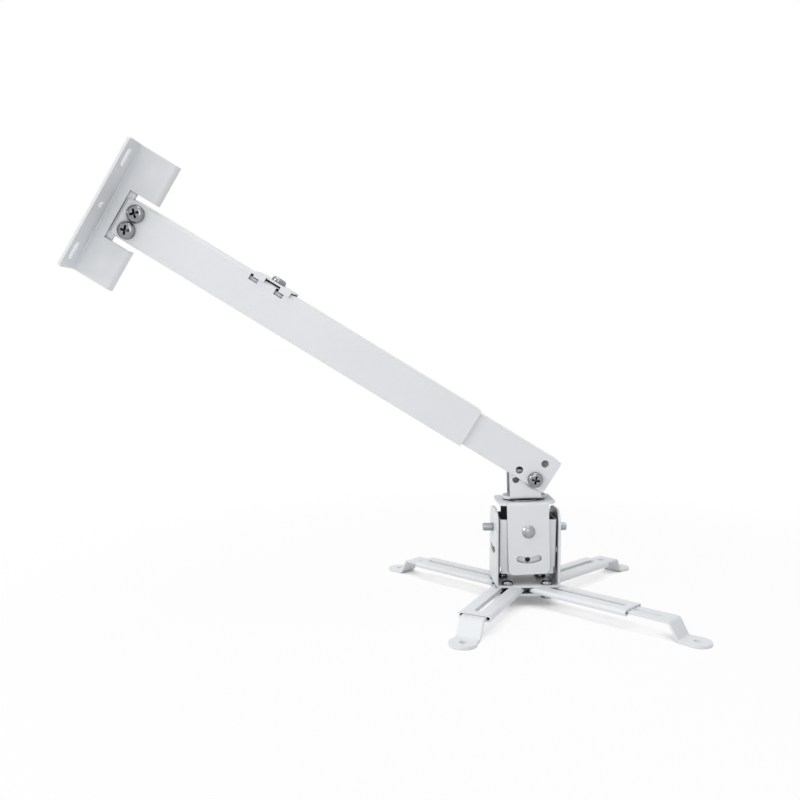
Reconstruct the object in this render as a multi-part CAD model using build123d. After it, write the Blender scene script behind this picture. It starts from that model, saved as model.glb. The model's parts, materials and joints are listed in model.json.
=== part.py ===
from build123d import *
import os
from math import cos, radians, sin

# Extendable ceiling mount for a projector, in folded and powder-coated steel sheet.
# All sizes are in millimetres. The pose is that of the mount standing on its four feet,
# with the arm leaning up to the left. X runs to the right, Y to the back, Z up.
# The origin is the middle hole of the ceiling flange, on the face that meets the ceiling.

# Pose of the joints, in degrees. Each piece is drawn straight and then placed by these.
ARM_ANGLE = 33.5  # arm above the head's own level
SWIVEL = -3.2  # yoke about the head's vertical bolt
ROLL = -2.3  # top bracket about the front and back pins, left side low
TILT = 2.6  # ring about the left and right pins, top towards the front

# Sheets and general fits.
HEAD_SHEET = 1.5
YOKE_SHEET = 2.0
CEILING_SHEET = 2.0
TUBE_WALL = 1.5
RUN = 0.06  # radial clearance of a hole round a turning shaft
HOLE_PLAY = 0.3  # radial play of a hole round a clamping screw
SIDE_PLAY = 0.5  # gap between neighbouring walls that turn past each other

# Screws: shank radius, head radius, head height, nut size across flats, nut height.
M6 = {"shank": 3.0, "head": 6.0, "rise": 3.9, "flats": 10.0, "nut": 5.0}
M5 = {"shank": 2.5, "head": 5.3, "rise": 3.5, "flats": 8.0, "nut": 4.0}
M4 = {"shank": 2.0, "head": 4.0, "rise": 2.6, "flats": 7.0, "nut": 2.2}
RECESS_DEPTH = 0.55  # share of the head's height
THREAD_PAST_NUT = 1.2
THREAD_PAST_THIN_NUT = 0.4
CUT = 1.0  # how far a cutter runs past the face that it opens

# Base bracket: a U that stands on the legs and carries the tilt pins.
BASE_WIDTH = 44.5
BASE_DEPTH = 29.6
BASE_UNDERSIDE = 13.0  # above the plane of the feet
BASE_WALL = 53.5
BASE_CORNER = 10.0
HEAD_BEND = 2.2  # outer bend radius of the head's sheets
PIVOT_HEIGHT = 52.5  # both gimbal axes, above the plane of the feet
TILT_SLOT_RADIUS = 16.0
TILT_SLOT_SPREAD = 26.0  # each way from straight down, in degrees
LOCK_SLOT_WIDTH = 4.4
LOCK_THREAD_RADIUS = 1.85

# Gimbal ring between the base bracket and the top bracket.
RING_BELOW = 30.0
RING_ABOVE = 8.0
RING_NOTCH_WIDTH = 2.2
RING_NOTCH_HEIGHT = 4.8

# Top bracket: an inverted U whose wings hang outside the ring.
TOP_DEPTH = 29.2
TOP_PLATE_WIDTH = 39.2
TOP_PLATE_CORNER = 5.0
TOP_RISE = 20.3  # upper face above the gimbal axes
WING_WIDTH = 28.8
WING_BELOW = 30.0
WING_CORNER = 4.0
ROLL_SLOT_RADIUS = 20.0
ROLL_SLOT_SPREAD = 19.0

# Gimbal pins.
ROLL_PIN_RADIUS = 2.5
ROLL_DOME_RADIUS = 4.6
ROLL_DOME_RISE = 2.2
TILT_PIN_RADIUS = 2.75
TILT_PIN_PROUD = 7.2
PIN_TAIL_EXTRA = 1.4
PIN_TAIL = 1.2

# Yoke on the swivel bolt.
YOKE_DEPTH = 19.2
YOKE_WALL_WIDTH = 21.4
YOKE_BASE_WIDTH = 29.4
YOKE_BEND = 3.0
YOKE_ABOVE_PIVOT = 7.0
YOKE_CORNER = 6.0
ARM_PIVOT_RISE = 35.8  # arm pivot above the gimbal axes
SWIVEL_DISC = 1.0
SWIVEL_DISC_RADIUS = 11.0
SWIVEL_WASHER = 1.6
SWIVEL_WASHER_RADIUS = 6.2
SWIVEL_HEAD = 4.0
HOLE_PITCH = 12.7  # spacing of every pair of arm holes

# Arm tubes. Places along the arm are measured from the arm pivot towards the ceiling.
OUTER_TUBE = 28.0
OUTER_TUBE_START = 56.0
OUTER_TUBE_LENGTH = 276.0
OUTER_TUBE_CORNER = 2.8
SLIDE_PLAY = 0.3
INNER_TUBE_PAST_PIVOT = 9.5
INNER_TUBE_STOP_GAP = 2.0  # from the inner tube's end to the ceiling bracket's tab
TUBE_OFFSET = 0.25  # the tubes' middle lies this much above the middle of the holes
INNER_TUBE_CORNER = 2.4
MOUTH_OPEN = 24.5  # the inner tube has no lower web this side of here
PIVOT_WASHER_RADIUS = 7.0

# Length lock: a strap hooked into four windows of the outer tube, with a screw.
LOCK_PLACE = 221.0
STRAP_LENGTH = 27.5
STRAP_TAB = 8.0
STRAP_SHEET = 1.2
STRAP_LIFT = 0.8
STRAP_PLAY = 0.12
HOOK_DEPTH = 1.3  # from the tube's top face to the hook's upper side
WINDOW_LENGTH = 6.5
WINDOW_HEIGHT = 4.2
WINDOW_LEAD = 2.4  # the window starts this far beyond the tab
LOCK_SCREW_HEAD = 5.25
LOCK_SCREW_RISE = 3.3

# Ceiling bracket: flange, wall with a stiffening lip, and an offset tab inside the tube.
FLANGE_WIDTH = 19.5
FLANGE_LENGTH = 95.0
FLANGE_STANDOFF = 9.8  # from the end of the tube to the flange
CEILING_WALL = 28.2
CEILING_LIP = 5.5
CEILING_BEND = 2.8
CEILING_CORNER = 2.5
NOTCH_WIDTH = 35.8
NOTCH_PAST_TUBE = 2.0
SHOULDER = 4.6
TAB_LENGTH = 20.5
TAB_PLAY = 1.6
FLANGE_SLOT_LENGTH = 13.0
FLANGE_SLOT_WIDTH = 5.2
FLANGE_SLOT_PLACE = 35.0
FLANGE_SLOT_LINE = 8.0  # from the flange's outer edge
FLANGE_HOLE_RADIUS = 2.5
FLANGE_HOLE_LINE = 9.5  # from the flange's outer edge
CEILING_SCREW_PLACE = 9.0  # from the end of the tube

# Legs: a curled channel, with a forked strip that slides in it and ends in a foot.
CLAMP_SIDE = 8.55  # from the base bracket's side to a leg screw
CLAMP_END = 4.3  # from the base bracket's front or back edge to a leg screw
CHANNEL_WIDTH = 22.0
CHANNEL_HEIGHT = 4.2
CHANNEL_SHEET = 1.2
CHANNEL_LIP = 4.2
CHANNEL_LENGTH = 78.0
CHANNEL_SLOT = 4.6
CHANNEL_SLOT_INNER = 3.5
CHANNEL_SLOT_OUTER = 7.0
STRIP_WIDTH = 15.6
STRIP_SHEET = 1.5
STRIP_LENGTH = 79.0
STRIP_SLOT = 4.6
STRIP_SLOT_OUTER = 10.0
STRIP_LIFT = 0.15
STRIP_BEND = 3.0
FOOT_RUN = 6.0  # how far the foot's slope goes outward
FOOT_HOLE = 14.9  # from the bend to the hole
FOOT_RADIUS = 8.7
FOOT_HOLE_RADIUS = 2.25
LEG_PLATE_SIDE = 0.25  # from the base bracket's side to the plate's
LEG_PLATE_END = 0.5  # from the base bracket's front or back edge to the plate's
LEG_PLATE_SHEET = 1.5
LEG_PLATE_CORNER = 4.0

# Reach of each leg from its screw: the channel's outer end, and the bend above the foot.
FRONT_LEFT_CHANNEL = 63.6
FRONT_RIGHT_CHANNEL = 64.2
BACK_LEFT_CHANNEL = 74.0
BACK_RIGHT_CHANNEL = 74.2
FRONT_LEFT_BEND = 68.3
FRONT_RIGHT_BEND = 90.6
BACK_LEFT_BEND = 86.2
BACK_RIGHT_BEND = 91.4

# Each leg: side, depth side, heading in degrees, channel reach and bend reach.
LEGS = {
    "front_left": (-1, -1, 241.6, FRONT_LEFT_CHANNEL, FRONT_LEFT_BEND),
    "front_right": (1, -1, 314.3, FRONT_RIGHT_CHANNEL, FRONT_RIGHT_BEND),
    "back_left": (-1, 1, 135.0, BACK_LEFT_CHANNEL, BACK_LEFT_BEND),
    "back_right": (1, 1, 41.0, BACK_RIGHT_CHANNEL, BACK_RIGHT_BEND),
}


# Small tools.
def rod(radius, start, stop):
    """A round bar along Z from start to stop."""
    return Pos(0, 0, start) * Cylinder(radius, stop - start, align=(Align.CENTER, Align.CENTER, Align.MIN))


def block(low, high):
    """A box between two corners."""
    size = [h - l for l, h in zip(low, high)]
    middle = [(h + l) / 2 for l, h in zip(low, high)]
    return Pos(*middle) * Box(*size)


def u_section(width, height, sheet, bend):
    """Section of a folded U that opens upward, its outer bottom on the axis."""
    outer = Rectangle(width, height, align=(Align.CENTER, Align.MIN))
    outer = fillet(outer.vertices().group_by(Axis.Y)[0], bend)
    inner = Pos(0, sheet) * Rectangle(width - 2 * sheet, height, align=(Align.CENTER, Align.MIN))
    inner = fillet(inner.vertices().group_by(Axis.Y)[0], bend - sheet)
    return outer - inner


def tube_section(size, wall, corner):
    """Section of a square tube."""
    inside = size - 2 * wall
    return RectangleRounded(size, size, corner) - RectangleRounded(inside, inside, corner - wall)


def arc_slot(radius, spread, width):
    """A slot bent about the origin, its middle straight below."""
    return SlotArc(CenterArc((0, 0), radius, 270 - spread, 2 * spread), width)


def along_x(sketch, start, stop):
    """Extrude a sketch drawn in Y and Z, along X."""
    placed = Plane.YZ.offset(start) * sketch
    return extrude(placed, stop - start)


def along_y(sketch, start, stop):
    """Extrude a sketch drawn in X and Z, along Y."""
    placed = Plane(origin=(0, start, 0), x_dir=(1, 0, 0), z_dir=(0, -1, 0)) * sketch
    return extrude(placed, -(stop - start))


def pan_screw(size, length):
    """Pan-head screw with a cross recess, head upward on the plane of Z zero."""
    rise = size["rise"]
    head = rod(size["head"], 0, rise)
    head = fillet(head.edges().group_by(Axis.Z)[-1], rise * 0.62)
    depth = rise * RECESS_DEPTH
    arm = size["head"] * 1.05
    wing = size["head"] * 0.22
    cross = block((-arm / 2, -wing / 2, rise - depth), (arm / 2, wing / 2, rise + 1))
    cross += Rot(0, 0, 90) * cross
    shank = rod(size["shank"], -length, 0)
    shank = chamfer(shank.edges().group_by(Axis.Z)[0], 0.5)
    return head - cross + shank


def hex_nut(size, bore_play=0.0):
    """Hexagon nut standing on the plane of Z zero, bored to its screw."""
    corner_radius = size["flats"] / 2 / cos(radians(30))
    body = extrude(RegularPolygon(corner_radius, 6), size["nut"])
    cap = Cone(corner_radius + size["nut"] * 1.6, corner_radius - 0.35, size["nut"],
               align=(Align.CENTER, Align.CENTER, Align.MIN))
    return (body & cap) - rod(size["shank"] + bore_play, -1, size["nut"] + 1)


def washer(outer, inner, height):
    """Flat washer on the plane of Z zero."""
    return rod(outer, 0, height) - rod(inner, -CUT, height + CUT)


# Frames of the moving groups, measured from the middle of the base on the plane of the feet.
gimbal = Location((0, 0, PIVOT_HEIGHT))
ring_frame = gimbal * Rot(TILT, 0, 0)
top_frame = ring_frame * Rot(0, ROLL, 0)
yoke_frame = top_frame * Rot(0, 0, SWIVEL)
arm_pivot = yoke_frame * Pos(HOLE_PITCH / 2, 0, ARM_PIVOT_RISE)
# In the arm's own frame X runs to the ceiling, Y to the front and Z across the tube.
arm_frame = arm_pivot * Rot(0, ARM_ANGLE, 0) * Rot(0, 0, 180)

TUBE_AXIS = HOLE_PITCH / 2 + TUBE_OFFSET  # the tubes' middle, across from the pivot
TUBE_TOP = OUTER_TUBE_START + OUTER_TUBE_LENGTH
NOTCH_END = TUBE_TOP + NOTCH_PAST_TUBE
INNER_TUBE_END = NOTCH_END - TAB_LENGTH - INNER_TUBE_STOP_GAP
FLANGE_UNDERSIDE = TUBE_TOP + FLANGE_STANDOFF
CEILING_FACE = FLANGE_UNDERSIDE + CEILING_SHEET
FLANGE_EDGE = OUTER_TUBE / 2 + FLANGE_WIDTH
FLANGE_HOLE_Y = FLANGE_EDGE - FLANGE_HOLE_LINE
FLANGE_SLOT_Y = FLANGE_EDGE - FLANGE_SLOT_LINE
INNER_TUBE = OUTER_TUBE - 2 * TUBE_WALL - 2 * SLIDE_PLAY
CLAMP_X = BASE_WIDTH / 2 - CLAMP_SIDE
CLAMP_Y = BASE_DEPTH / 2 - CLAMP_END
LEG_PLATE_UNDERSIDE = BASE_UNDERSIDE - CHANNEL_HEIGHT - LEG_PLATE_SHEET

# The whole mount is moved so that the middle ceiling hole is the origin.
ceiling_point = (arm_frame * Pos(CEILING_FACE, FLANGE_HOLE_Y, TUBE_AXIS)).position
to_origin = Pos(-ceiling_point.X, -ceiling_point.Y, -ceiling_point.Z)


def ceiling_bracket():
    """Flange, wall, lip and tab, folded and lanced from one sheet."""
    sheet = CEILING_SHEET
    face = OUTER_TUBE / 2
    low = FLANGE_UNDERSIDE - CEILING_WALL
    wall = Pos((low + CEILING_FACE) / 2, face - sheet / 2) * Rectangle(CEILING_FACE - low, sheet)
    flange = Pos(CEILING_FACE - sheet / 2, (face - sheet + FLANGE_EDGE) / 2) * Rectangle(
        sheet, FLANGE_EDGE - face + sheet)
    lip = Pos(low + sheet / 2, face - CEILING_LIP / 2) * Rectangle(sheet, CEILING_LIP)
    section = wall + flange + lip
    inner = CEILING_BEND - sheet
    outside = [(CEILING_FACE, face - sheet), (low, face)]
    inside = [(FLANGE_UNDERSIDE, face), (low + sheet, face - sheet)]
    for corners, radius in ((outside, CEILING_BEND), (inside, inner)):
        for x, y in corners:
            corner = section.vertices().sort_by_distance(Vector(x, y, 0))[0]
            section = fillet(corner, radius)
    body = Pos(0, 0, TUBE_AXIS - FLANGE_LENGTH / 2) * extrude(section, FLANGE_LENGTH)
    body = fillet(body.edges().filter_by(Axis.X).group_by(Axis.Y)[-1], CEILING_CORNER)
    half = NOTCH_WIDTH / 2
    body -= block((low - 1, -face, TUBE_AXIS - half), (NOTCH_END, face + 1, TUBE_AXIS + half))
    tab_face = face - TUBE_WALL
    tab_back = tab_face - sheet
    shoulder = block((NOTCH_END - SHOULDER, tab_back, TUBE_AXIS - half),
                     (NOTCH_END + sheet, tab_face, TUBE_AXIS + half))
    tab_half = OUTER_TUBE / 2 - TUBE_WALL - TAB_PLAY
    tab = block((NOTCH_END - TAB_LENGTH, tab_back, TUBE_AXIS - tab_half),
                (NOTCH_END, tab_face, TUBE_AXIS + tab_half))
    body += shoulder + tab
    slot = Rot(0, 0, 90) * SlotOverall(FLANGE_SLOT_LENGTH, FLANGE_SLOT_WIDTH)
    for side in (-1, 1):
        place = Pos(FLANGE_SLOT_Y, TUBE_AXIS + side * FLANGE_SLOT_PLACE)
        body -= along_x(place * slot, FLANGE_UNDERSIDE - CUT, CEILING_FACE + CUT)
    hole = Pos(FLANGE_HOLE_Y, TUBE_AXIS) * Circle(FLANGE_HOLE_RADIUS)
    body -= along_x(hole, FLANGE_UNDERSIDE - CUT, CEILING_FACE + CUT)
    for z in arm_hole_lines():
        bore = Pos(TUBE_TOP - CEILING_SCREW_PLACE, 0, z) * Rot(90, 0, 0) * rod(
            M6["shank"] + HOLE_PLAY, -face - 1, 1)
        body -= bore
    return body


def arm_hole_lines():
    """The two lines, across the tube, on which the arm's holes lie."""
    return (0, HOLE_PITCH)


def outer_tube():
    """Outer arm tube with the lock's windows and the slits for the bracket's tab."""
    section = Pos(0, TUBE_AXIS) * tube_section(OUTER_TUBE, TUBE_WALL, OUTER_TUBE_CORNER)
    body = along_x(section, OUTER_TUBE_START, TUBE_TOP)
    half = OUTER_TUBE / 2
    top = TUBE_AXIS + half
    for start in strap_tab_starts():
        low = start + STRAP_TAB + WINDOW_LEAD - WINDOW_LENGTH
        body -= block((low, -half - 1, top - HOOK_DEPTH - WINDOW_HEIGHT),
                      (low + WINDOW_LENGTH, half + 1, top - HOOK_DEPTH + STRAP_PLAY))
    body -= Pos(LOCK_PLACE, 0, 0) * rod(M6["shank"] + HOLE_PLAY + SIDE_PLAY, top - TUBE_WALL - CUT, top + CUT)
    tab_face = half - TUBE_WALL
    slit_start = NOTCH_END - SHOULDER - HOLE_PLAY
    for side in (-1, 1):
        low, high = sorted((TUBE_AXIS + side * (half - TUBE_WALL - TAB_PLAY), TUBE_AXIS + side * (half + 1)))
        body -= block((slit_start, tab_face - CEILING_SHEET - HOLE_PLAY, low), (TUBE_TOP + 1, tab_face, high))
    for z in arm_hole_lines():
        body -= Pos(TUBE_TOP - CEILING_SCREW_PLACE, 0, z) * Rot(90, 0, 0) * rod(
            M6["shank"] + HOLE_PLAY, -half - 1, -half + TUBE_WALL + 1)
    return body


def strap_tab_starts():
    """Where the strap's two tabs start, nearest the head."""
    first = LOCK_PLACE - STRAP_LENGTH / 2
    return (first, first + STRAP_LENGTH - STRAP_TAB)


def lock_strap():
    """Strap over the outer tube, with two tabs a side that hook into the windows."""
    half = OUTER_TUBE / 2
    top = TUBE_AXIS + half
    inside = half + STRAP_PLAY
    outside = inside + STRAP_SHEET
    under = top + STRAP_LIFT
    body = block((LOCK_PLACE - STRAP_LENGTH / 2, -half, under),
                 (LOCK_PLACE + STRAP_LENGTH / 2, half, under + STRAP_SHEET))
    for start in strap_tab_starts():
        stop = start + STRAP_TAB
        bridge = block((start, -outside, under), (stop, outside, under + STRAP_SHEET))
        bridge = fillet(bridge.edges().filter_by(Axis.X).group_by(Axis.Z)[-1], STRAP_SHEET * 0.9)
        body += bridge
        hook_low = start + STRAP_TAB + WINDOW_LEAD - WINDOW_LENGTH + STRAP_PLAY
        for side in (-1, 1):
            low, high = sorted((side * inside, side * outside))
            body += block((start, low, top - HOOK_DEPTH - STRAP_SHEET), (stop, high, under))
            low, high = sorted((side * (half - TUBE_WALL), side * outside))
            body += block((hook_low, low, top - HOOK_DEPTH - STRAP_SHEET), (stop, high, top - HOOK_DEPTH))
    body -= Pos(LOCK_PLACE, 0, 0) * rod(M6["shank"] + RUN, under - CUT, under + STRAP_SHEET + CUT)
    return body


def lock_screw():
    """Screw through the strap that presses on the inner tube."""
    size = dict(M6, head=LOCK_SCREW_HEAD, rise=LOCK_SCREW_RISE)
    seat = TUBE_AXIS + OUTER_TUBE / 2 + STRAP_LIFT + STRAP_SHEET
    tip = TUBE_AXIS + INNER_TUBE / 2 + RUN
    return Pos(LOCK_PLACE, 0, seat) * Rot(0, 0, 30) * pan_screw(size, seat - tip)


def ceiling_screws():
    """Two screws through the tube's front wall and the bracket's tab."""
    face = OUTER_TUBE / 2
    length = TUBE_WALL + CEILING_SHEET + M6["nut"] + THREAD_PAST_NUT
    return [Pos(TUBE_TOP - CEILING_SCREW_PLACE, face, z) * Rot(-90, 0, 20 + 25 * turn) * pan_screw(M6, length)
            for turn, z in enumerate(arm_hole_lines())]


def ceiling_nuts():
    """Nuts of the ceiling screws, behind the tab."""
    face = OUTER_TUBE / 2 - TUBE_WALL - CEILING_SHEET
    return [Pos(TUBE_TOP - CEILING_SCREW_PLACE, face, z) * Rot(90, 0, 0) * Rot(0, 0, 30) * hex_nut(M6)
            for z in arm_hole_lines()]


def inner_tube():
    """Inner arm tube, open below at the head so that the yoke can fold into it."""
    section = Pos(0, TUBE_AXIS) * tube_section(INNER_TUBE, TUBE_WALL, INNER_TUBE_CORNER)
    body = along_x(section, -INNER_TUBE_PAST_PIVOT, INNER_TUBE_END)
    inside = INNER_TUBE / 2 - TUBE_WALL
    lower = TUBE_AXIS - INNER_TUBE / 2
    body -= block((-INNER_TUBE_PAST_PIVOT - 1, -inside, lower - 1), (MOUTH_OPEN, inside, lower + INNER_TUBE_CORNER))
    for x, z in ((0, 0), (HOLE_PITCH, 0), (0, HOLE_PITCH)):
        body -= Pos(x, 0, z) * Rot(90, 0, 0) * rod(M5["shank"] + RUN, -INNER_TUBE, INNER_TUBE)
    return body


def pivot_bolt():
    """Bolt across the inner tube and the yoke."""
    face = INNER_TUBE / 2
    length = INNER_TUBE + M5["nut"] + THREAD_PAST_NUT
    return Pos(0, face, 0) * Rot(-90, 0, 55) * pan_screw(M5, length)


def pivot_nut():
    """Nut of the arm pivot, at the back."""
    return Pos(0, -INNER_TUBE / 2, 0) * Rot(90, 0, 0) * hex_nut(M5)


def pivot_washers():
    """Washers that fill the gap between the yoke and the inner tube's walls."""
    inside = INNER_TUBE / 2 - TUBE_WALL
    gap = inside - YOKE_DEPTH / 2
    disc = washer(PIVOT_WASHER_RADIUS, M5["shank"] + RUN, gap - RUN)
    return [Pos(0, inside, 0) * Rot(90, 0, 0) * disc, Pos(0, -inside, 0) * Rot(-90, 0, 0) * disc]


def yoke():
    """U-shaped yoke with rounded ends on its base, and two holes a wall."""
    under = TOP_RISE + SWIVEL_DISC
    height = ARM_PIVOT_RISE + YOKE_ABOVE_PIVOT - under
    section = Pos(0, under) * u_section(YOKE_DEPTH, height, YOKE_SHEET, YOKE_BEND)
    half = YOKE_WALL_WIDTH / 2
    body = along_x(section, -half, half)
    body = fillet(body.edges().filter_by(Axis.Y).group_by(Axis.Z)[-1], YOKE_CORNER)
    flat = YOKE_DEPTH - 2 * YOKE_BEND
    ends = RectangleRounded(YOKE_BASE_WIDTH, flat, flat * 0.42)
    body += Pos(0, 0, under) * extrude(ends, YOKE_SHEET)
    body -= rod(M6["shank"] + RUN, under - CUT, under + YOKE_SHEET + CUT)
    for x in (-HOLE_PITCH / 2, HOLE_PITCH / 2):
        body -= Pos(x, 0, ARM_PIVOT_RISE) * Rot(90, 0, 0) * rod(M5["shank"] + RUN, -YOKE_DEPTH, YOKE_DEPTH)
    return body


def top_bracket():
    """Inverted U: a plate with rounded ears, and a wing at the front and the back."""
    half = WING_WIDTH / 2
    height = TOP_RISE + WING_BELOW
    section = Pos(0, TOP_RISE) * Rot(0, 0, 180) * u_section(TOP_DEPTH, height, HEAD_SHEET, HEAD_BEND)
    body = along_x(section, -half, half)
    body = fillet(body.edges().filter_by(Axis.Y).group_by(Axis.Z)[0], WING_CORNER)
    ears = RectangleRounded(TOP_PLATE_WIDTH, TOP_DEPTH, TOP_PLATE_CORNER) - Rectangle(WING_WIDTH, TOP_DEPTH)
    body += Pos(0, 0, TOP_RISE - HEAD_SHEET) * extrude(ears, HEAD_SHEET)
    body -= rod(M6["shank"] + RUN, TOP_RISE - HEAD_SHEET - CUT, TOP_RISE + CUT)
    body -= Rot(90, 0, 0) * rod(ROLL_PIN_RADIUS + RUN, -TOP_DEPTH, TOP_DEPTH)
    slot = arc_slot(ROLL_SLOT_RADIUS, ROLL_SLOT_SPREAD, LOCK_SLOT_WIDTH)
    body -= along_y(slot, -TOP_DEPTH, TOP_DEPTH)
    return body


def ring_sizes():
    """Width and depth over the outside of the ring."""
    width = BASE_WIDTH - 2 * HEAD_SHEET - 2 * SIDE_PLAY
    depth = TOP_DEPTH - 2 * HEAD_SHEET - 2 * SIDE_PLAY
    return width, depth


def gimbal_ring():
    """Folded ring that carries both pairs of pins and the lock threads."""
    width, depth = ring_sizes()
    inner = RectangleRounded(width - 2 * HEAD_SHEET, depth - 2 * HEAD_SHEET, HEAD_BEND - HEAD_SHEET)
    section = RectangleRounded(width, depth, HEAD_BEND) - inner
    body = Pos(0, 0, -RING_BELOW) * extrude(section, RING_BELOW + RING_ABOVE)
    body -= Rot(90, 0, 0) * rod(ROLL_PIN_RADIUS, -depth, depth)
    body -= Rot(0, 90, 0) * rod(TILT_PIN_RADIUS, -width, width)
    body -= Pos(0, 0, -ROLL_SLOT_RADIUS) * Rot(90, 0, 0) * rod(LOCK_THREAD_RADIUS, -depth, depth)
    body -= Pos(0, 0, -TILT_SLOT_RADIUS) * Rot(0, 90, 0) * rod(LOCK_THREAD_RADIUS, -width, width)
    for side in (-1, 1):
        for end in (-1, 1):
            corner = Pos(side * width / 2, end * depth / 2, -RING_BELOW)
            body -= corner * Box(2 * RING_NOTCH_WIDTH, 2 * RING_NOTCH_WIDTH, 2 * RING_NOTCH_HEIGHT)
    return body


def roll_pins():
    """Front and back rivets, domed outside the wings and spread inside the ring."""
    depth = ring_sizes()[1]
    wing = TOP_DEPTH / 2
    inside = depth / 2 - HEAD_SHEET
    dome_ball = (ROLL_DOME_RADIUS ** 2 + ROLL_DOME_RISE ** 2) / (2 * ROLL_DOME_RISE)
    dome = Pos(0, 0, wing + RUN + ROLL_DOME_RISE - dome_ball) * Sphere(dome_ball)
    dome &= rod(ROLL_DOME_RADIUS, wing + RUN, wing + RUN + ROLL_DOME_RISE + 1)
    shank = rod(ROLL_PIN_RADIUS, inside - PIN_TAIL, wing + RUN)
    tail = rod(ROLL_PIN_RADIUS + PIN_TAIL_EXTRA, inside - PIN_TAIL, inside)
    pin = dome + shank + tail
    return [Rot(90, 0, 0) * pin, Rot(-90, 0, 0) * pin]


def tilt_pins():
    """Left and right pins, which stand out of the base bracket's walls."""
    width = ring_sizes()[0]
    inside = width / 2 - HEAD_SHEET
    shank = rod(TILT_PIN_RADIUS, inside - PIN_TAIL, BASE_WIDTH / 2 + TILT_PIN_PROUD)
    shank = chamfer(shank.edges().group_by(Axis.Z)[-1], 0.4)
    pin = shank + rod(TILT_PIN_RADIUS + PIN_TAIL_EXTRA, inside - PIN_TAIL, inside)
    return [Rot(0, 90, 0) * pin, Rot(0, -90, 0) * pin]


def swivel_bolt():
    """Hexagon bolt, its head under the top bracket's plate."""
    seat = TOP_RISE - HEAD_SHEET
    size = dict(M6, nut=SWIVEL_HEAD)
    head = Pos(0, 0, seat - SWIVEL_HEAD) * Rot(180, 0, 0) * Pos(0, 0, -SWIVEL_HEAD) * hex_nut(size)
    nut_top = TOP_RISE + SWIVEL_DISC + YOKE_SHEET + SWIVEL_WASHER + M6["nut"]
    return head + rod(M6["shank"], seat - SWIVEL_HEAD, nut_top + THREAD_PAST_NUT)


def swivel_disc():
    """Disc on which the yoke turns."""
    return Pos(0, 0, TOP_RISE) * washer(SWIVEL_DISC_RADIUS, M6["shank"] + RUN, SWIVEL_DISC)


def swivel_washer():
    """Washer under the swivel nut."""
    seat = TOP_RISE + SWIVEL_DISC + YOKE_SHEET
    return Pos(0, 0, seat) * washer(SWIVEL_WASHER_RADIUS, M6["shank"] + RUN, SWIVEL_WASHER)


def swivel_nut():
    """Nut on the swivel bolt, inside the yoke."""
    seat = TOP_RISE + SWIVEL_DISC + YOKE_SHEET + SWIVEL_WASHER
    return Pos(0, 0, seat) * hex_nut(M6)


def base_bracket():
    """U with rounded wall corners, holes for the tilt pins and bent lock slots."""
    section = Pos(0, BASE_UNDERSIDE) * u_section(BASE_WIDTH, BASE_WALL, HEAD_SHEET, HEAD_BEND)
    body = along_y(section, -BASE_DEPTH / 2, BASE_DEPTH / 2)
    body = fillet(body.edges().filter_by(Axis.X).group_by(Axis.Z)[-1], BASE_CORNER)
    body -= Pos(0, 0, PIVOT_HEIGHT) * Rot(0, 90, 0) * rod(TILT_PIN_RADIUS + RUN, -BASE_WIDTH, BASE_WIDTH)
    slot = Pos(0, PIVOT_HEIGHT) * arc_slot(TILT_SLOT_RADIUS, TILT_SLOT_SPREAD, LOCK_SLOT_WIDTH)
    body -= along_x(slot, -BASE_WIDTH, BASE_WIDTH)
    for x, y in clamp_points():
        body -= Pos(x, y, 0) * rod(M4["shank"] + RUN, BASE_UNDERSIDE - CUT, BASE_UNDERSIDE + HEAD_SHEET + CUT)
    return body


def clamp_points():
    """The four leg screws, in the order of the legs."""
    return [(side * CLAMP_X, end * CLAMP_Y) for side, end, *_ in LEGS.values()]


def leg_plate():
    """Plate under the legs, which the four thin nuts draw up."""
    under = LEG_PLATE_UNDERSIDE
    width = BASE_WIDTH - 2 * LEG_PLATE_SIDE
    depth = BASE_DEPTH - 2 * LEG_PLATE_END
    outline = RectangleRounded(width, depth, LEG_PLATE_CORNER)
    body = Pos(0, 0, under) * extrude(outline, LEG_PLATE_SHEET)
    for x, y in clamp_points():
        body -= Pos(x, y, 0) * rod(M4["shank"] + RUN, under - CUT, under + LEG_PLATE_SHEET + CUT)
    return body


def leg_nuts():
    """Four thin nuts under the leg plate."""
    return [Pos(x, y, LEG_PLATE_UNDERSIDE) * Rot(180, 0, 0) * hex_nut(M4, RUN) for x, y in clamp_points()]


def leg_screw():
    """Leg screw in its own leg's frame, head on the base bracket's floor."""
    seat = BASE_UNDERSIDE + HEAD_SHEET
    length = HEAD_SHEET + CHANNEL_HEIGHT + LEG_PLATE_SHEET + M4["nut"] + THREAD_PAST_THIN_NUT
    return Pos(0, 0, seat) * Rot(0, 0, 25) * pan_screw(M4, length)


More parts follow.
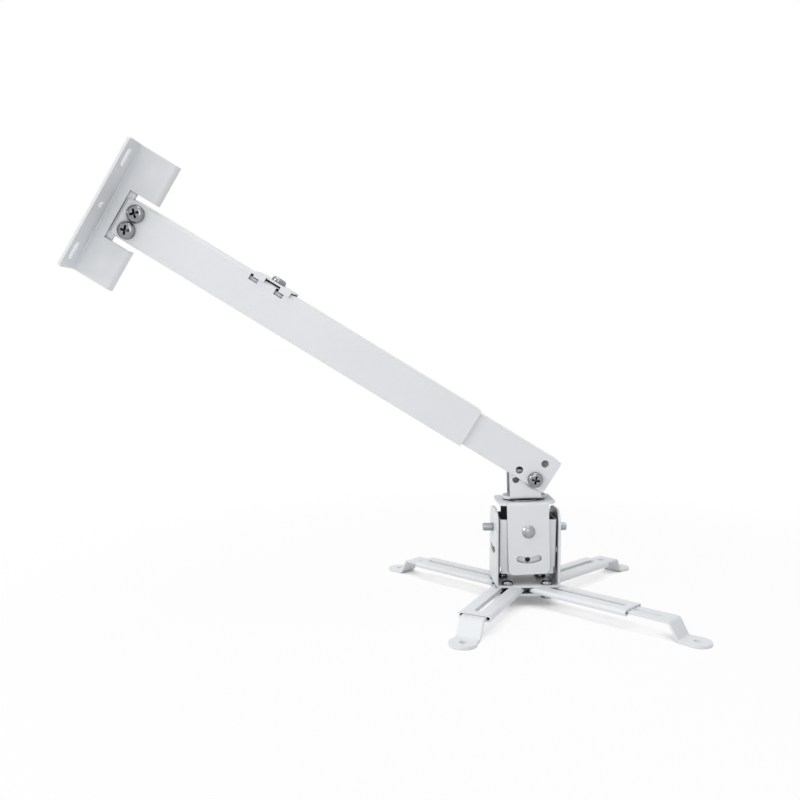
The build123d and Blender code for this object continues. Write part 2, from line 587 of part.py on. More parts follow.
def leg_channel(reach):
    """Curled channel in its leg's frame: X outward from the screw, Z up."""
    half = CHANNEL_WIDTH / 2
    curl = CHANNEL_HEIGHT / 2
    low = BASE_UNDERSIDE - CHANNEL_HEIGHT
    outer = Pos(0, low + curl) * SlotOverall(CHANNEL_WIDTH, CHANNEL_HEIGHT)
    inner = Pos(0, low + curl) * SlotOverall(CHANNEL_WIDTH - 2 * CHANNEL_SHEET, CHANNEL_HEIGHT - 2 * CHANNEL_SHEET)
    mouth = Pos(0, low) * Rectangle(CHANNEL_WIDTH - 2 * CHANNEL_LIP, CHANNEL_HEIGHT)
    tail = reach - CHANNEL_LENGTH
    body = along_x(outer - inner - mouth, tail, reach)
    plan = Pos(tail + half, 0) * Circle(half) + Pos((tail + half + reach) / 2, 0) * Rectangle(
        reach - tail - half, CHANNEL_WIDTH)
    body &= Pos(0, 0, low) * extrude(plan, CHANNEL_HEIGHT)
    start = tail + CHANNEL_SLOT_INNER - CHANNEL_SLOT / 2
    stop = reach - CHANNEL_SLOT_OUTER + CHANNEL_SLOT / 2
    slot = Pos((start + stop) / 2, 0) * SlotOverall(stop - start, CHANNEL_SLOT)
    body -= Pos(0, 0, low) * extrude(slot, CHANNEL_HEIGHT + CUT)
    return body


def foot_strip(bend):
    """Forked strip with a foot, in its leg's frame."""
    upper = BASE_UNDERSIDE - CHANNEL_SHEET - STRIP_LIFT
    lower = upper - STRIP_SHEET
    foot_start = bend + FOOT_RUN
    hole = bend + FOOT_HOLE
    tip = hole + FOOT_RADIUS
    tail = bend - STRIP_LENGTH
    path = Polyline((tail, lower), (bend, lower), (foot_start, 0), (tip, 0))
    edge = Polyline((tip, STRIP_SHEET), (foot_start + STRIP_SHEET * 0.4, STRIP_SHEET),
                    (bend + STRIP_SHEET * 0.62, upper), (tail, upper))
    side = make_face(path + Line((tip, 0), (tip, STRIP_SHEET)) + edge + Line((tail, upper), (tail, lower)))
    knees = [((bend, lower), STRIP_BEND - STRIP_SHEET), ((bend + STRIP_SHEET * 0.62, upper), STRIP_BEND),
             ((foot_start, 0), STRIP_BEND), ((foot_start + STRIP_SHEET * 0.4, STRIP_SHEET), STRIP_BEND - STRIP_SHEET)]
    for (x, z), radius in knees:
        side = fillet(side.vertices().sort_by_distance(Vector(x, z, 0))[0], radius)
    body = along_y(side, -STRIP_WIDTH, STRIP_WIDTH)
    half = STRIP_WIDTH / 2
    plan = Pos((tail + half + hole) / 2, 0) * Rectangle(hole - tail - half, STRIP_WIDTH)
    plan += Pos(tail + half, 0) * Circle(half)
    plan += Pos(hole, 0) * Circle(FOOT_RADIUS)
    body &= Pos(0, 0, -CUT) * extrude(plan, upper + 2 * CUT)
    slot_stop = bend - STRIP_SLOT_OUTER + STRIP_SLOT / 2
    slot_start = tail - STRIP_SLOT
    slot = Pos((slot_start + slot_stop) / 2, 0) * SlotOverall(slot_stop - slot_start, STRIP_SLOT)
    body -= Pos(0, 0, lower - CUT) * extrude(slot, STRIP_SHEET + 2 * CUT)
    body -= Pos(hole, 0, 0) * rod(FOOT_HOLE_RADIUS, -CUT, STRIP_SHEET + CUT)
    return body


def build():
    """Every node, placed in the frame of the mount."""
    nodes = {
        "ceiling_bracket": (arm_frame, ceiling_bracket()),
        "outer_tube": (arm_frame, outer_tube()),
        "ceiling_screws": (arm_frame, ceiling_screws()),
        "ceiling_nuts": (arm_frame, ceiling_nuts()),
        "lock_strap": (arm_frame, lock_strap()),
        "lock_screw": (arm_frame, lock_screw()),
        "inner_tube": (arm_frame, inner_tube()),
        "arm_pivot_bolt": (arm_frame, pivot_bolt()),
        "arm_pivot_nut": (arm_frame, pivot_nut()),
        "arm_pivot_washers": (arm_frame, pivot_washers()),
        "yoke": (yoke_frame, yoke()),
        "top_bracket": (top_frame, top_bracket()),
        "swivel_bolt": (top_frame, swivel_bolt()),
        "swivel_disc": (top_frame, swivel_disc()),
        "swivel_washer": (top_frame, swivel_washer()),
        "swivel_nut": (top_frame, swivel_nut()),
        "gimbal_ring": (ring_frame, gimbal_ring()),
        "roll_pins": (ring_frame, roll_pins()),
        "tilt_pins": (ring_frame, tilt_pins()),
        "base_bracket": (Location(), base_bracket()),
        "leg_plate": (Location(), leg_plate()),
        "leg_nuts": (Location(), leg_nuts()),
    }
    for name, (side, end, heading, reach, bend) in LEGS.items():
        leg_frame = Pos(side * CLAMP_X, end * CLAMP_Y, 0) * Rot(0, 0, heading)
        nodes["leg_screw_" + name] = (leg_frame, leg_screw())
        nodes["leg_channel_" + name] = (leg_frame, leg_channel(reach))
        nodes["foot_strip_" + name] = (leg_frame, foot_strip(bend))
    placed = {}
    for name, (frame, shape) in nodes.items():
        pieces = shape if isinstance(shape, list) else [shape]
        solids = [solid for piece in pieces for solid in (to_origin * frame * piece).solids()]
        placed[name] = solids[0] if len(solids) == 1 else Compound(solids)
    return placed


os.makedirs("parts", exist_ok=True)
for node, shape in build().items():
    export_step(shape, "parts/" + node + ".step")
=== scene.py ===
# %% [markdown]
# # A projector's ceiling mount
#
# The mount is folded from steel sheet and powder coated white. A square arm slides in
# another one, and a small double-hinged head stands on four legs with drilled feet.
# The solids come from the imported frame, true to size. What this lesson adds is the
# camera, the light, the finishes, and the fine forms that a solid leaves out.

# %% Load the solids
import json
from math import cos, pi, radians, sin, tau

import bmesh
import bpy
from mathutils import Matrix, Vector


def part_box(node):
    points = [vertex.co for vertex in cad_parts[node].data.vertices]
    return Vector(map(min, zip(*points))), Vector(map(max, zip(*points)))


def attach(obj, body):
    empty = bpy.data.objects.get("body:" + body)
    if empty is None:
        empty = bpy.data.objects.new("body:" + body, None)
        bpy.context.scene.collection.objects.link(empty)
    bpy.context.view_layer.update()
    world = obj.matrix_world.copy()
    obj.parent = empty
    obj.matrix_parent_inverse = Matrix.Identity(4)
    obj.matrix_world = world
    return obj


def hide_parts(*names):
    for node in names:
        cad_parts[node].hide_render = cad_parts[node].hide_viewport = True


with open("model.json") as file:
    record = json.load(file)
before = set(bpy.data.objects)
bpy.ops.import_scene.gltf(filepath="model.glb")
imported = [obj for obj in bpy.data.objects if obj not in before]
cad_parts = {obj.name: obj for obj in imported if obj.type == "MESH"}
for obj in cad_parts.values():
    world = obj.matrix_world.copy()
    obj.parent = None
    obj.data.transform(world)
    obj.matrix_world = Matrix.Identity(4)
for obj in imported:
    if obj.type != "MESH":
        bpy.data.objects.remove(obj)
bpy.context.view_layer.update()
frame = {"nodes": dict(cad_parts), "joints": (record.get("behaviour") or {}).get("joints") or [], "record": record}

nodes = frame["nodes"]

# %% [markdown]
# ## Places that everything else is measured from
#
# The head hinges about one point, where the front pins and the side pins cross. The
# record of the joints holds it. The floor is where the four feet stand. Taking both
# from the frame, and not as typed numbers, keeps the picture right if the part moves.

# %% Find the head's hinge point and the floor
MM = 0.001
joints = {joint["name"]: joint for joint in frame["joints"]}
hinge_point = Vector(joints["head_tilt"]["pos_m"])
floor_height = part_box("foot_strip_front_left")[0].z
print("hinge point:", hinge_point, "floor:", round(floor_height, 4))

# %% [markdown]
# ## The camera
#
# The photographer stood a little left of the head and just above the arm's middle, about
# half a metre away. So near, the back feet look smaller than the front ones. A lens of
# 33.7 mm on a 36 mm sensor gives that perspective. The alternative, a far camera with a
# long lens, would draw the legs flat. Three small turns aim it, given in radians.

# %% Place the camera
CAMERA_FROM_HEAD = Vector((-106.3, -520.1)) * MM
CAMERA_HEIGHT = 165.8 * MM
LOOK_RIGHT, LOOK_DOWN, CAMERA_ROLL = 0.035, 0.046, 0.002
LENS, SENSOR = 33.66, 36.0
NEAREST_SEEN = 0.01

camera_data = bpy.data.cameras.new("photo_camera")
camera_data.lens = LENS
camera_data.sensor_width = SENSOR
camera_data.clip_start = NEAREST_SEEN
camera = bpy.data.objects.new("photo_camera", camera_data)
bpy.context.scene.collection.objects.link(camera)
camera_place = Vector((hinge_point.x + CAMERA_FROM_HEAD.x, hinge_point.y + CAMERA_FROM_HEAD.y,
                       floor_height + CAMERA_HEIGHT))
camera.matrix_world = (Matrix.Translation(camera_place) @ Matrix.Rotation(-LOOK_RIGHT, 4, "Z")
                       @ Matrix.Rotation(pi / 2 - LOOK_DOWN, 4, "X") @ Matrix.Rotation(CAMERA_ROLL, 4, "Z"))
bpy.context.scene.camera = camera
bpy.context.scene.view_settings.view_transform = "Standard"
print("camera at", camera_place)

# %% [markdown]
# ## A helper for node materials
#
# Every finish below is a small network of nodes. This helper makes one node, sets its
# inputs and wires others into it, so that each finish reads as a list of what it does.
# Some nodes have several inputs of one name, so an input may also be given by its place:
# i0 is the first.

# %% Make a material and its nodes
def new_material(name):
    material = bpy.data.materials.new(name)
    material.use_nodes = True
    tree = material.node_tree
    tree.nodes.clear()
    return material, tree


def find_socket(node, key):
    """An input by its place, such as i3, or by its name with _ for each space."""
    if key[0] == "i" and key[1:].isdigit():
        return node.inputs[int(key[1:])]
    return node.inputs[key.replace("_", " ")]


def add_node(tree, kind, settings=None, **inputs):
    node = tree.nodes.new(kind)
    for setting, value in (settings or {}).items():
        setattr(node, setting, value)
    for key, value in inputs.items():
        socket = find_socket(node, key)
        if isinstance(value, bpy.types.NodeSocket):
            tree.links.new(value, socket)
        else:
            socket.default_value = value
    return node


def finish_material(tree, shader):
    add_node(tree, "ShaderNodeOutputMaterial", i0=shader.outputs[0])


print("node kinds to choose from:", sum(kind.startswith("ShaderNode") for kind in dir(bpy.types)))

# %% [markdown]
# ## Four nodes that come back in every finish
#
# A noise gives an uneven value over the surface. A remap stretches a part of its range to
# the values that are wanted. A tint darkens a colour by such a value, and an occlusion
# node tells how open a place is, from shut (0) to free (1). As all of them work in the
# object's own space, a finish stays on its piece when the piece moves.

# %% Noise, remap, tint and openness
def own_space(tree):
    return add_node(tree, "ShaderNodeTexCoord").outputs["Object"]


def noise(tree, place, scale, detail, roughness):
    return add_node(tree, "ShaderNodeTexNoise", Vector=place, Scale=scale, Detail=detail,
                    Roughness=roughness).outputs["Fac"]


def remap(tree, value, low, high, new_low, new_high):
    return add_node(tree, "ShaderNodeMapRange", i0=value, i1=low, i2=high, i3=new_low,
                    i4=new_high).outputs[0]


def tint(tree, colour, share):
    settings = {"data_type": "RGBA", "blend_type": "MULTIPLY"}
    return add_node(tree, "ShaderNodeMix", settings, i0=1.0, i6=colour, i7=share).outputs[2]


def openness(tree, reach, samples):
    return add_node(tree, "ShaderNodeAmbientOcclusion", {"samples": samples}, Distance=reach).outputs["AO"]


print("every finish is drawn in its piece's own space")

# %% [markdown]
# ## White powder coat: its tone and painted shade
#
# Powder is sprayed on dry and baked, so its white drifts a little from place to place. A
# large, faint noise gives that drift.
#
# The deep places inside the folded box are darkened with painted shade. An occlusion
# node with a reach of 40 mm finds those deep places, wherever the camera stands. Where a
# place is half open or more, no shade is painted. Painting the dark places by hand would
# leave them behind when the head tilts.

# %% Drift and painted shade
NOISE_LOW, NOISE_HIGH = 0.3, 0.7  # a noise seldom leaves this range
DRIFT_SCALE, DRIFT_DARKEST = 26.0, 0.975
CAVITY_REACH = 40 * MM
CAVITY_DEEP, CAVITY_OPEN = 0.14, 0.52
PAINTED_SHADE_DARKEST = 0.05


def coat_tone_and_painted_shade(tree, place, colour):
    drift = noise(tree, place, DRIFT_SCALE, detail=4.0, roughness=0.6)
    shade = tint(tree, (*colour, 1.0), remap(tree, drift, NOISE_LOW, NOISE_HIGH, DRIFT_DARKEST, 1.0))
    # Painted shade: deep places in the box are darkened by how shut they are.
    cavity = openness(tree, CAVITY_REACH, samples=12)
    return tint(tree, shade, remap(tree, cavity, CAVITY_DEEP, CAVITY_OPEN, PAINTED_SHADE_DARKEST, 1.0))


# Below this openness the coat carries painted shade.
print("the coat gets thin where openness is under", CAVITY_OPEN)

# %% [markdown]
# ## White powder coat: worn edges
#
# The coat is thinnest on sheared edges, where handling rubs it a little grey. A bevel
# node rounds those edges in the shading only, because the solids' own edges must stay as
# they are. Where its rounded normal turns away from the true one, there is an edge. A
# patchy noise rubs it here and there, as no real edge wears evenly.

# %% Rub the edges
EDGE_ROUND = 0.35 * MM
EDGE_STARTS, EDGE_FULL = 0.995, 0.8
RUB_SCALE = 210.0
RUB_STARTS, RUB_FULL, RUB_MOST = 0.52, 0.72, 0.35
WORN_GREY = (0.50, 0.51, 0.52, 1.0)


def rub_edges(tree, place, colour, soft_normal):
    true_normal = add_node(tree, "ShaderNodeNewGeometry").outputs["Normal"]
    agree = add_node(tree, "ShaderNodeVectorMath", {"operation": "DOT_PRODUCT"}, i0=soft_normal,
                     i1=true_normal)
    edge = remap(tree, agree.outputs["Value"], EDGE_STARTS, EDGE_FULL, 0.0, 1.0)
    patches = noise(tree, place, RUB_SCALE, detail=5.0, roughness=0.7)
    rubbed = remap(tree, patches, RUB_STARTS, RUB_FULL, 0.0, RUB_MOST)
    worn = add_node(tree, "ShaderNodeMath", {"operation": "MULTIPLY"}, i0=edge, i1=rubbed)
    return add_node(tree, "ShaderNodeMix", {"data_type": "RGBA"}, i0=worn.outputs[0], i6=colour,
                    i7=WORN_GREY).outputs[2]


print("edges are rounded by", round(EDGE_ROUND / MM, 2), "mm in the shading")

# %% [markdown]
# ## White powder coat: its skin
#
# As it bakes, the powder flows out to a skin with a faint orange peel. Noise at two sizes
# gives it, one for the slow flow and one for the fine peel, each as a bump of a few
# hundredths of a millimetre. Real dents would need a far finer mesh than the solids have.

# %% Put the coat together
FLOW_SCALE, FLOW_BUMP, FLOW_DEPTH = 320.0, 0.25, 0.03 * MM
PEEL_SCALE, PEEL_BUMP, PEEL_DEPTH = 1400.0, 0.20, 0.012 * MM
SMOOTHER, ROUGHER = 0.05, 0.06
COAT_SHINE = 0.45
PAINT_WHITE = (0.80, 0.82, 0.845)
PAINT_ROUGHNESS = 0.36


def powder_coat(name, colour, roughness):
    material, tree = new_material(name)
    place = own_space(tree)
    soft_normal = add_node(tree, "ShaderNodeBevel", {"samples": 8}, Radius=EDGE_ROUND).outputs[0]
    paint = rub_edges(tree, place, coat_tone_and_painted_shade(tree, place, colour), soft_normal)
    flow = noise(tree, place, FLOW_SCALE, detail=2.0, roughness=0.5)
    peel = noise(tree, place, PEEL_SCALE, detail=3.0, roughness=0.55)
    rough = remap(tree, flow, NOISE_LOW, NOISE_HIGH, roughness - SMOOTHER, roughness + ROUGHER)
    flow_bump = add_node(tree, "ShaderNodeBump", Strength=FLOW_BUMP, Distance=FLOW_DEPTH, Height=flow,
                         Normal=soft_normal)
    peel_bump = add_node(tree, "ShaderNodeBump", Strength=PEEL_BUMP, Distance=PEEL_DEPTH, Height=peel,
                         Normal=flow_bump.outputs[0])
    skin = add_node(tree, "ShaderNodeBsdfPrincipled", Base_Color=paint, Roughness=rough,
                    Normal=peel_bump.outputs[0], Specular_IOR_Level=COAT_SHINE)
    finish_material(tree, skin)
    return material


white_coat = powder_coat("white_powder_coat", PAINT_WHITE, PAINT_ROUGHNESS)
print("coat:", white_coat.name)

# %% [markdown]
# ## Bright zinc and bare steel
#
# The screws are zinc plated: a metal shader with low roughness, faintly blotched
# because the plating isn't even. The pins and washers are bare steel, which is rougher
# and carries fine turning marks. Stretching a noise along one direction makes marks
# that look drawn, with no image. The recesses are darkened with painted shade.

# %% The two metals
CREVICE_REACH = 3 * MM
CREVICE_DEEP, CREVICE_OPEN, CREVICE_PAINTED_SHADE = 0.25, 0.8, 0.12
BLOTCH_SCALE, BLOTCH_DARKEST = 260.0, 0.82
MARK_LOW, MARK_HIGH, MARK_DEPTH = 0.25, 0.75, 0.02 * MM
METAL_EDGE_ROUND = 0.2 * MM
POLISHED, SCUFFED = 0.08, 0.12


def bare_metal(name, colour, roughness, mark_scale, mark_strength):
    material, tree = new_material(name)
    place = own_space(tree)
    blotch = noise(tree, place, BLOTCH_SCALE, detail=4.0, roughness=0.6)
    shade = tint(tree, (*colour, 1.0), remap(tree, blotch, NOISE_LOW, NOISE_HIGH, BLOTCH_DARKEST, 1.0))
    # Painted shade: the recesses are darkened by how shut they are.
    crevice = openness(tree, CREVICE_REACH, samples=8)
    shade = tint(tree, shade, remap(tree, crevice, CREVICE_DEEP, CREVICE_OPEN, CREVICE_PAINTED_SHADE, 1.0))
    stretch = add_node(tree, "ShaderNodeMapping", i0=place, i3=mark_scale)
    marks = noise(tree, stretch.outputs[0], 1.0, detail=3.0, roughness=0.6)
    rough = remap(tree, marks, MARK_LOW, MARK_HIGH, roughness - POLISHED, roughness + SCUFFED)
    soft_normal = add_node(tree, "ShaderNodeBevel", {"samples": 8}, Radius=METAL_EDGE_ROUND).outputs[0]
    bump = add_node(tree, "ShaderNodeBump", Strength=mark_strength, Distance=MARK_DEPTH, Height=marks,
                    Normal=soft_normal)
    metal = add_node(tree, "ShaderNodeBsdfPrincipled", Base_Color=shade, Roughness=rough,
                     Normal=bump.outputs[0], Metallic=1.0)
    finish_material(tree, metal)
    return material


zinc_plate = bare_metal("bright_zinc", colour=(0.30, 0.312, 0.325), roughness=0.14,
                        mark_scale=(900.0, 900.0, 900.0), mark_strength=0.15)
plain_steel = bare_metal("plain_steel", colour=(0.40, 0.415, 0.435), roughness=0.34,
                         mark_scale=(2600.0, 2600.0, 240.0), mark_strength=0.3)
print("metals:", zinc_plate.name, plain_steel.name)

# %% [markdown]
# ## Give each solid its finish
#
# The record says which solids are painted, plated or bare. Only the material slot of a
# solid is changed, never its mesh.

# %% Assign the finishes
finish_of_slot = {"white_paint": white_coat, "zinc_screws": zinc_plate, "plain_steel": plain_steel}
slot_of_node = {row["node"]: row["material_slot"] for row in frame["record"]["subparts"]}
for node, solid in nodes.items():
    solid.data.materials.clear()
    solid.data.materials.append(finish_of_slot[slot_of_node[node]])
print("finishes:", {slot: list(slot_of_node.values()).count(slot) for slot in finish_of_slot})

# %% [markdown]
# ## Screws with real threads
#
# In the solids a screw is a smooth bar with a plain cross cut in its head. A real one is
# threaded. Here the whole screw is one grid, wrapped round its axis: rows from the crown
# down to the tip, each with forty points. On the shank each point's radius rises and
# falls with its height and its angle together, which gives a true spiral with no boolean.

# %% The rows of a threaded screw, head upward on the plane of z zero
SCREW_SIDES = 40
ROWS_A_PITCH = 6
THREAD_DEPTH = 0.58  # share of the pitch
CROWN_SHARES = (0.3, 0.6)  # rings on the crown, as shares of the head's radius
HEAD_CURVE = 0.62  # share of the head's height that the rim's curve takes
CURVE_STEPS = 8


def thread_radius(z, turn, crest, pitch):
    share = (z / pitch - turn) % 1.0
    return crest - pitch * THREAD_DEPTH * abs(2.0 * share - 1.0)


def head_rows(head, rise):
    """The crown, then the rim's curve, then the flat underside."""
    curve = rise * HEAD_CURVE
    rows = [(rise, [head * share] * SCREW_SIDES) for share in CROWN_SHARES]
    for step in range(CURVE_STEPS + 1):
        angle = step / CURVE_STEPS * pi / 2
        radius = head - curve + curve * sin(angle)
        rows.append((rise - curve + curve * cos(angle), [radius] * SCREW_SIDES))
    rows.append((0.0, [head] * SCREW_SIDES))
    return rows


def shank_rows(crest, pitch, length):
    """The thread, and a tip one pitch long that tapers."""
    rows = [(0.0, [crest] * SCREW_SIDES)]
    count = int((length - pitch) / pitch * ROWS_A_PITCH)
    for row in range(1, count):
        z = -row * pitch / ROWS_A_PITCH
        rows.append((z, [thread_radius(z, side / SCREW_SIDES, crest, pitch) for side in range(SCREW_SIDES)]))
    rows.append((-length, [crest - pitch] * SCREW_SIDES))
    return rows


print("a screw has", len(head_rows(1.0, 1.0)), "rows on its head")

# %% [markdown]
# ## Turn the rows into a mesh
#
# Neighbouring rows are joined by four-sided faces, and the crown and the tip are closed
# by one face each, so the mesh is watertight and can be cut.

# %% Join rows of points
def mesh_from(shell, name):
    bmesh.ops.recalc_face_normals(shell, faces=shell.faces)
    mesh = bpy.data.meshes.new(name)
    shell.to_mesh(mesh)
    shell.free()
    return mesh


def grid_mesh(name, rows):
    shell = bmesh.new()
    rings = [[shell.verts.new((r * cos(tau * i / SCREW_SIDES), r * sin(tau * i / SCREW_SIDES), z))
              for i, r in enumerate(radii)] for z, radii in rows]
    for upper, lower in zip(rings, rings[1:]):
        for i in range(SCREW_SIDES):
            j = (i + 1) % SCREW_SIDES
            shell.faces.new((upper[j], upper[i], lower[i], lower[j]))
    shell.faces.new(rings[0])
    shell.faces.new(list(reversed(rings[-1])))
    return mesh_from(shell, name)


print("each thread has", SCREW_SIDES * ROWS_A_PITCH, "faces a turn")

# %% [markdown]
# ## The cross recess
#
# The driver's tip is a cross of two blades that narrow downward. Two such wedges, one
# turned by a quarter, are cut from the head. A boolean is the simplest way here, because
# the recess must have crisp edges, and a head is small enough to cut quickly. The screw
# is shaded smooth, but an edge sharper than 38 degrees stays sharp.

# %% Cut the recess
RECESS_LONG, RECESS_WIDE, RECESS_DEEP = 1.12, 0.27, 0.72  # shares of the head's radius and height
BLADE_TOP, BLADE_TIP = (1.0, 1.0), (0.45, 0.62)  # shares of the blade's length and width
ABOVE_CROWN = 1.05
SHARP_FROM = radians(38)
BOX_FACES = ((0, 1, 2, 3), (7, 6, 5, 4), (0, 4, 5, 1), (1, 5, 6, 2), (2, 6, 7, 3), (3, 7, 4, 0))


def wedge(length, width, top, bottom):
    """A blade that narrows downward, as one arm of the driver's tip does."""
    shell = bmesh.new()
    corners = []
    for z, (share_long, share_wide) in ((top, BLADE_TOP), (bottom, BLADE_TIP)):
        for x, y in ((-1, -1), (1, -1), (1, 1), (-1, 1)):
            corners.append(shell.verts.new((x * length / 2 * share_long, y * width / 2 * share_wide, z)))
    for face in BOX_FACES:
        shell.faces.new([corners[i] for i in face])
    return mesh_from(shell, "wedge")


def cross_screw(name, length, head, rise, crest, pitch):
    """A pan-head screw's mesh, its cross recess cut by two wedges."""
    rows = head_rows(head, rise) + shank_rows(crest, pitch, length)
    body = bpy.data.objects.new(name, grid_mesh(name, rows))
    bpy.context.scene.collection.objects.link(body)
    cutters = []
    for quarter in (0.0, pi / 2):
        blade = wedge(head * RECESS_LONG, head * RECESS_WIDE, rise * ABOVE_CROWN, rise * (1.0 - RECESS_DEEP))
        blade.transform(Matrix.Rotation(quarter, 4, "Z"))
        cutter = bpy.data.objects.new("cutter", blade)
        bpy.context.scene.collection.objects.link(cutter)
        cut = body.modifiers.new("recess", "BOOLEAN")
        cut.operation = "DIFFERENCE"
        cut.solver = "EXACT"
        cut.object = cutter
        cutters.append(cutter)
    ready = body.evaluated_get(bpy.context.evaluated_depsgraph_get())
    mesh = bpy.data.meshes.new_from_object(ready)
    for thing in (body, *cutters):
        bpy.data.objects.remove(thing)
    mesh.shade_smooth()
    mesh.set_sharp_from_angle(angle=SHARP_FROM)
    return mesh


print("a recess is", RECESS_DEEP, "of the head's height deep")

# %% [markdown]
# ## Where each screw goes
#
# A screw's place isn't typed. The joints give the arm's own directions, and the solid
# that the screw stands for gives the rest: its lowest and highest points, measured
# along those directions, say where the head sits and how long the shank is.

# %% Measure the solids along the arm
pitch_joint, slide_joint = joints["arm_pitch"], joints["arm_extension"]
along = -Vector(slide_joint["axis"]).normalized()
front = Vector(pitch_joint["axis"]).normalized()
across = along.cross(front).normalized()
arm_turn = Matrix((along, front, across)).transposed().to_4x4()
arm_place = Matrix.Translation(Vector(pitch_joint["pos_m"])) @ arm_turn


def measured(node, place, keep=lambda point: True):
    """A solid's lowest and highest corners in another frame."""
    into = place.inverted()
    points = [into @ vertex.co for vertex in nodes[node].data.vertices]
    points = [point for point in points if keep(point)]
    low = Vector([min(point[i] for point in points) for i in range(3)])
    high = Vector([max(point[i] for point in points) for i in range(3)])
    return low, high


print("the arm runs along", along)

# %% [markdown]
# ## Stand a screw in its place
#
# Each screw takes the place of its solid and rides on the same body, so that it moves
# with the joint. The turn says how far the driver left its cross twisted, because no two
# screws in a real assembly end up alike.

# %% Add one screw
def add_screw(name, node, body, place, size, length, turn):
    """Stand a screw in a frame whose Z runs up through its head."""
    mesh = cross_screw(name, length, **size)
    mesh.transform(place @ Matrix.Rotation(radians(turn), 4, "Z"))
    mesh.materials.append(zinc_plate)
    screw = bpy.data.objects.new(name, mesh)
    bpy.context.scene.collection.objects.link(screw)
    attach(screw, body)
    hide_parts(node)
    print(name, len(mesh.polygons), "faces, length", round(length / MM, 1))


print("screws are made of", zinc_plate.name)

# %% [markdown]
# ## The screws on the arm
#
# M6 screws hold the ceiling bracket and lock the arm, and an M5 bolt is the arm's pivot.
# Each size below gives the head's radius and height, the shank's radius less a hair, so
# that its crests stay inside the hole, and the thread's pitch.

# %% Pivot, lock and ceiling screws
HAIR = 0.02
M6_SIZE = {"head": 6.0 * MM, "rise": 3.9 * MM, "crest": (3.0 - HAIR) * MM, "pitch": 1.0 * MM}
LOCK_SIZE = {"head": 5.25 * MM, "rise": 3.3 * MM, "crest": (3.0 - HAIR) * MM, "pitch": 1.0 * MM}
M5_SIZE = {"head": 5.3 * MM, "rise": 3.5 * MM, "crest": (2.5 - HAIR) * MM, "pitch": 0.8 * MM}
FRONT_AXIS, TOP_AXIS = 1, 2  # which of the arm's own directions a head faces
stand_of_axis = {FRONT_AXIS: Matrix.Rotation(-pi / 2, 4, "X"), TOP_AXIS: Matrix.Identity(4)}


def screw_from_solid(name, node, body, size, axis, turn, keep=lambda point: True):
    """Seat a screw so that its crown and its tip end where the solid's do."""
    low, high = measured(node, arm_place, keep)
    middle = (low + high) / 2
    middle[axis] = high[axis] - size["rise"]
    length = high[axis] - low[axis] - size["rise"]
    place = arm_place @ Matrix.Translation(middle) @ stand_of_axis[axis]
    add_screw(name, node, body, place, size, length, turn)


screw_from_solid("pivot_screw", "arm_pivot_bolt", "arm", M5_SIZE, FRONT_AXIS, turn=20)
screw_from_solid("length_lock_screw", "lock_screw", "ceiling", LOCK_SIZE, TOP_AXIS, turn=30)
low, high = measured("ceiling_screws", arm_place)
halfway = (low.z + high.z) / 2
screw_from_solid("ceiling_screw_lower", "ceiling_screws", "ceiling", M6_SIZE, FRONT_AXIS, turn=20,
                 keep=lambda point: point.z < halfway)
screw_from_solid("ceiling_screw_upper", "ceiling_screws", "ceiling", M6_SIZE, FRONT_AXIS, turn=45,
                 keep=lambda point: point.z >= halfway)

# %% [markdown]
# ## The screws on the legs
#
# An M4 screw clamps each leg between the base and the plate below it. These screws stand
# upright at rest, so the solid's plain box is enough to place them.

# %% The four leg screws
M4_SIZE = {"head": 4.0 * MM, "rise": 2.6 * MM, "crest": (2.0 - HAIR) * MM, "pitch": 0.7 * MM}
turn_of_leg = {"front_left": 25, "front_right": 60, "back_left": 10, "back_right": 40}
for leg, turn in turn_of_leg.items():
    node = "leg_screw_" + leg
    low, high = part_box(node)
    seat = Vector(((low.x + high.x) / 2, (low.y + high.y) / 2, high.z - M4_SIZE["rise"]))
    add_screw("cross_" + node, node, node, Matrix.Translation(seat), M4_SIZE, seat.z - low.z, turn)

# %% [markdown]
# ## The floor
#
# The photograph is cut out on pure white. A floor is still useful, because feet with no
# contact shadow seem to float. Near the feet it holds a thin white shadow catcher, and
# further out it is as clear as glass against the white surround, so no horizon shows. In
# the creases under the feet it is thickest. As it is mostly clear, a leg that swings
# below it in another pose can still be seen, and because it casts no shadow of its own,
# such a leg stays lit. The alternative, a solid floor, would cut that leg off.

# %% Lay the floor
NEAR_WHITE = 0.92
FADE_FROM, FADE_TO = 0.20, 0.55
CREASE_REACH = 26 * MM
CREASE_DARK, CREASE_OPEN, CREASE_CLEAR = 0.20, 0.50, 0.03
FLOOR_SIZE = 8.0
BELOW_FEET = 0.2 * MM
MATT_WHITE, PURE_WHITE = (0.9, 0.9, 0.9, 1.0), (1.0, 1.0, 1.0, 1.0)


def seen_directly(tree):
    """One for what the eye, a mirror or a glass sees, and zero for the light's own paths."""
    ray = add_node(tree, "ShaderNodeLightPath").outputs
    seen = add_node(tree, "ShaderNodeMath", {"operation": "MAXIMUM"}, i0=ray["Is Camera Ray"],
                    i1=ray["Is Glossy Ray"])
    return add_node(tree, "ShaderNodeMath", {"operation": "MAXIMUM"}, i0=seen.outputs[0],
                    i1=ray["Is Transmission Ray"]).outputs[0]


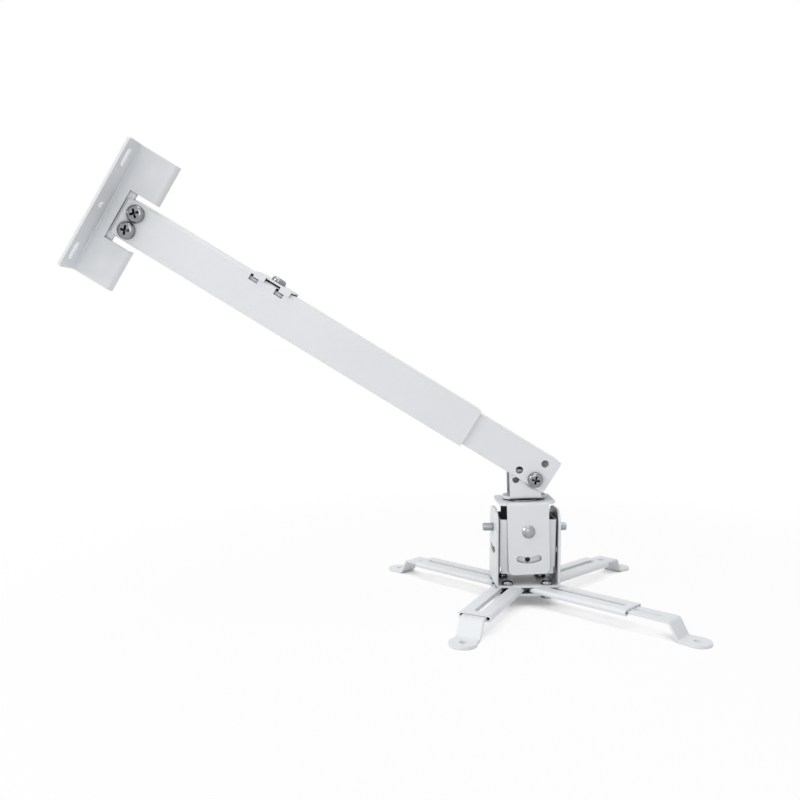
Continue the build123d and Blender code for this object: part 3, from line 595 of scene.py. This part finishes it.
def white_floor_material(centre):
    material, tree = new_material("white_floor")
    place = add_node(tree, "ShaderNodeNewGeometry").outputs["Position"]
    apart = add_node(tree, "ShaderNodeVectorMath", {"operation": "DISTANCE"}, i0=place, i1=centre)
    fade = add_node(tree, "ShaderNodeMapRange", {"interpolation_type": "SMOOTHSTEP"},
                    i0=apart.outputs["Value"], i1=FADE_FROM, i2=FADE_TO, i3=NEAR_WHITE, i4=1.0)
    crease = openness(tree, CREASE_REACH, samples=8)
    open_sky = remap(tree, crease, CREASE_DARK, CREASE_OPEN, CREASE_CLEAR, 1.0)
    lit = add_node(tree, "ShaderNodeMath", {"operation": "MULTIPLY"}, i0=fade.outputs[0], i1=open_sky)
    share = add_node(tree, "ShaderNodeMath", {"operation": "MULTIPLY"}, i0=lit.outputs[0],
                     i1=seen_directly(tree))
    matt = add_node(tree, "ShaderNodeBsdfDiffuse", Color=MATT_WHITE)
    clear = add_node(tree, "ShaderNodeBsdfTransparent", Color=PURE_WHITE)
    finish_material(tree, add_node(tree, "ShaderNodeMixShader", i0=share.outputs[0], i1=matt.outputs[0],
                                   i2=clear.outputs[0]))
    return material


feet_centre = Vector((hinge_point.x, hinge_point.y, floor_height))
bpy.ops.mesh.primitive_plane_add(size=FLOOR_SIZE, location=feet_centre - Vector((0, 0, BELOW_FEET)))
floor = bpy.context.object
floor.name = "white_floor"
floor.visible_shadow = False
floor.data.materials.append(white_floor_material(feet_centre))
print("floor at", round(floor.location.z, 4))

# %% [markdown]
# ## The white surround
#
# Seen by the camera, the surround is pure white. As a light it is under half as strong,
# because white paint that is lit fully from every side would clip and lose its folds. A
# light path node tells the two apart, and mirrors see the pure white too.

# %% Surround the object with white
SKY_LEVEL = 0.43  # share of white that falls on the object

world = bpy.data.worlds.new("white_surround")
bpy.context.scene.world = world
world.use_nodes = True
world.node_tree.nodes.clear()
level = remap(world.node_tree, seen_directly(world.node_tree), 0.0, 1.0, SKY_LEVEL, 1.0)
sky = add_node(world.node_tree, "ShaderNodeBackground", Color=PURE_WHITE, Strength=level)
add_node(world.node_tree, "ShaderNodeOutputWorld", i0=sky.outputs[0])
print("the surround lights with", SKY_LEVEL, "of white")

# %% [markdown]
# ## Light
#
# In the photograph the faces that look left are nearly white, tops are bright, and the
# faces towards the camera are a shade darker. So the main soft box hangs on the left,
# a second one above, and a weak one at the front fills the head's dark inside. All three
# aim at a point on the arm. A sun lamp would give the hard shadows that a studio avoids.

# %% The soft boxes
AIM_FROM_HEAD = Vector((-0.12, 0.0, 0.05))
SOFT_BOXES = {  # where each hangs, seen from the aim point, its size in metres and its watts
    "left_soft_box": (Vector((-1.3, -0.6, 0.7)), 0.8, 9.0),
    "top_soft_box": (Vector((0.1, -0.1, 1.4)), 1.1, 7.5),
    "front_soft_box": (Vector((-0.1, -2.0, 0.5)), 0.9, 5.2),
}


def soft_box(name, place, aim, size, power):
    light = bpy.data.lights.new(name, "AREA")
    light.shape = "SQUARE"
    light.size = size
    light.energy = power
    lamp = bpy.data.objects.new(name, light)
    bpy.context.scene.collection.objects.link(lamp)
    lamp.location = place
    lamp.rotation_euler = (aim - place).to_track_quat("-Z", "Y").to_euler()


aim_point = hinge_point + AIM_FROM_HEAD
for name, (offset, size, power) in SOFT_BOXES.items():
    soft_box(name, aim_point + offset, aim_point, size, power)

# %% [markdown]
